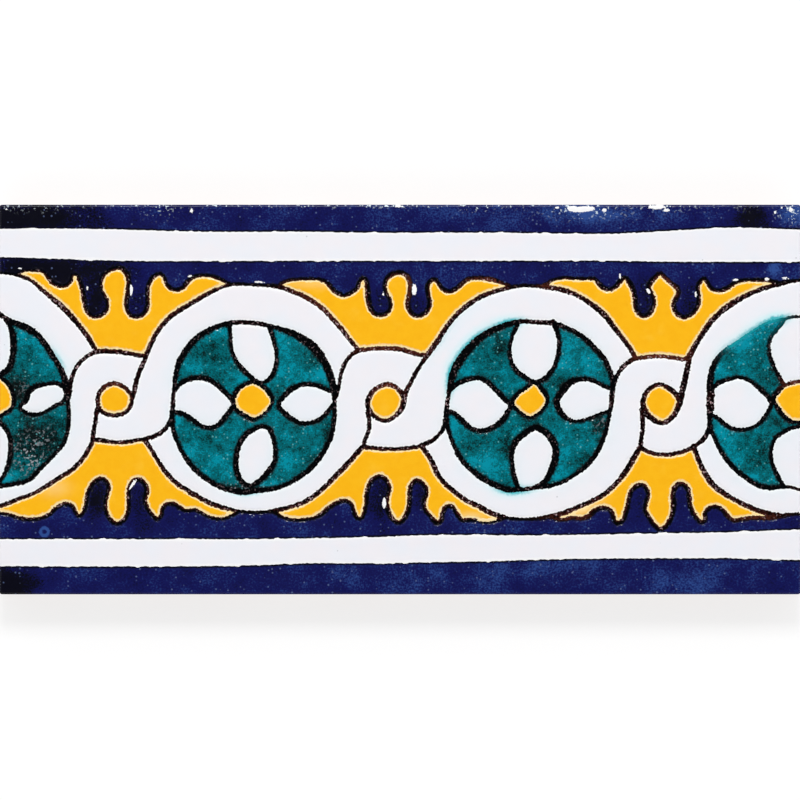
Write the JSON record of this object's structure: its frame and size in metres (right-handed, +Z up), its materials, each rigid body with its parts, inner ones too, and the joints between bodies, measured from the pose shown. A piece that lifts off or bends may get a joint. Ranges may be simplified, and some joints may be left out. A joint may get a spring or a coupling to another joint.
{
  "type": "border tile",
  "caption": "Oblong glazed earthenware border tile painted with a twisted ring band of petalled rosettes between striped edges, laid end to end to frame a tiled wall.",
  "frame": {"origin": "middle of the back face, which lies on the floor", "axes": "+Z up through the glazed face, +X along the border, +Y across it towards the upper long edge"},
  "size_m": [0.2, 0.0972, 0.01],
  "materials": {
    "glazed_earthenware": "gloss",
    "bisque": "matte",
    "white_glaze": "gloss",
    "cobalt_glaze": "gloss",
    "amber_glaze": "gloss",
    "copper_green_glaze": "gloss",
    "resist_line": "matte"
  },
  "bodies": {
    "root": {"border_tile": "glazed_earthenware"}
  },
  "joints": []
}
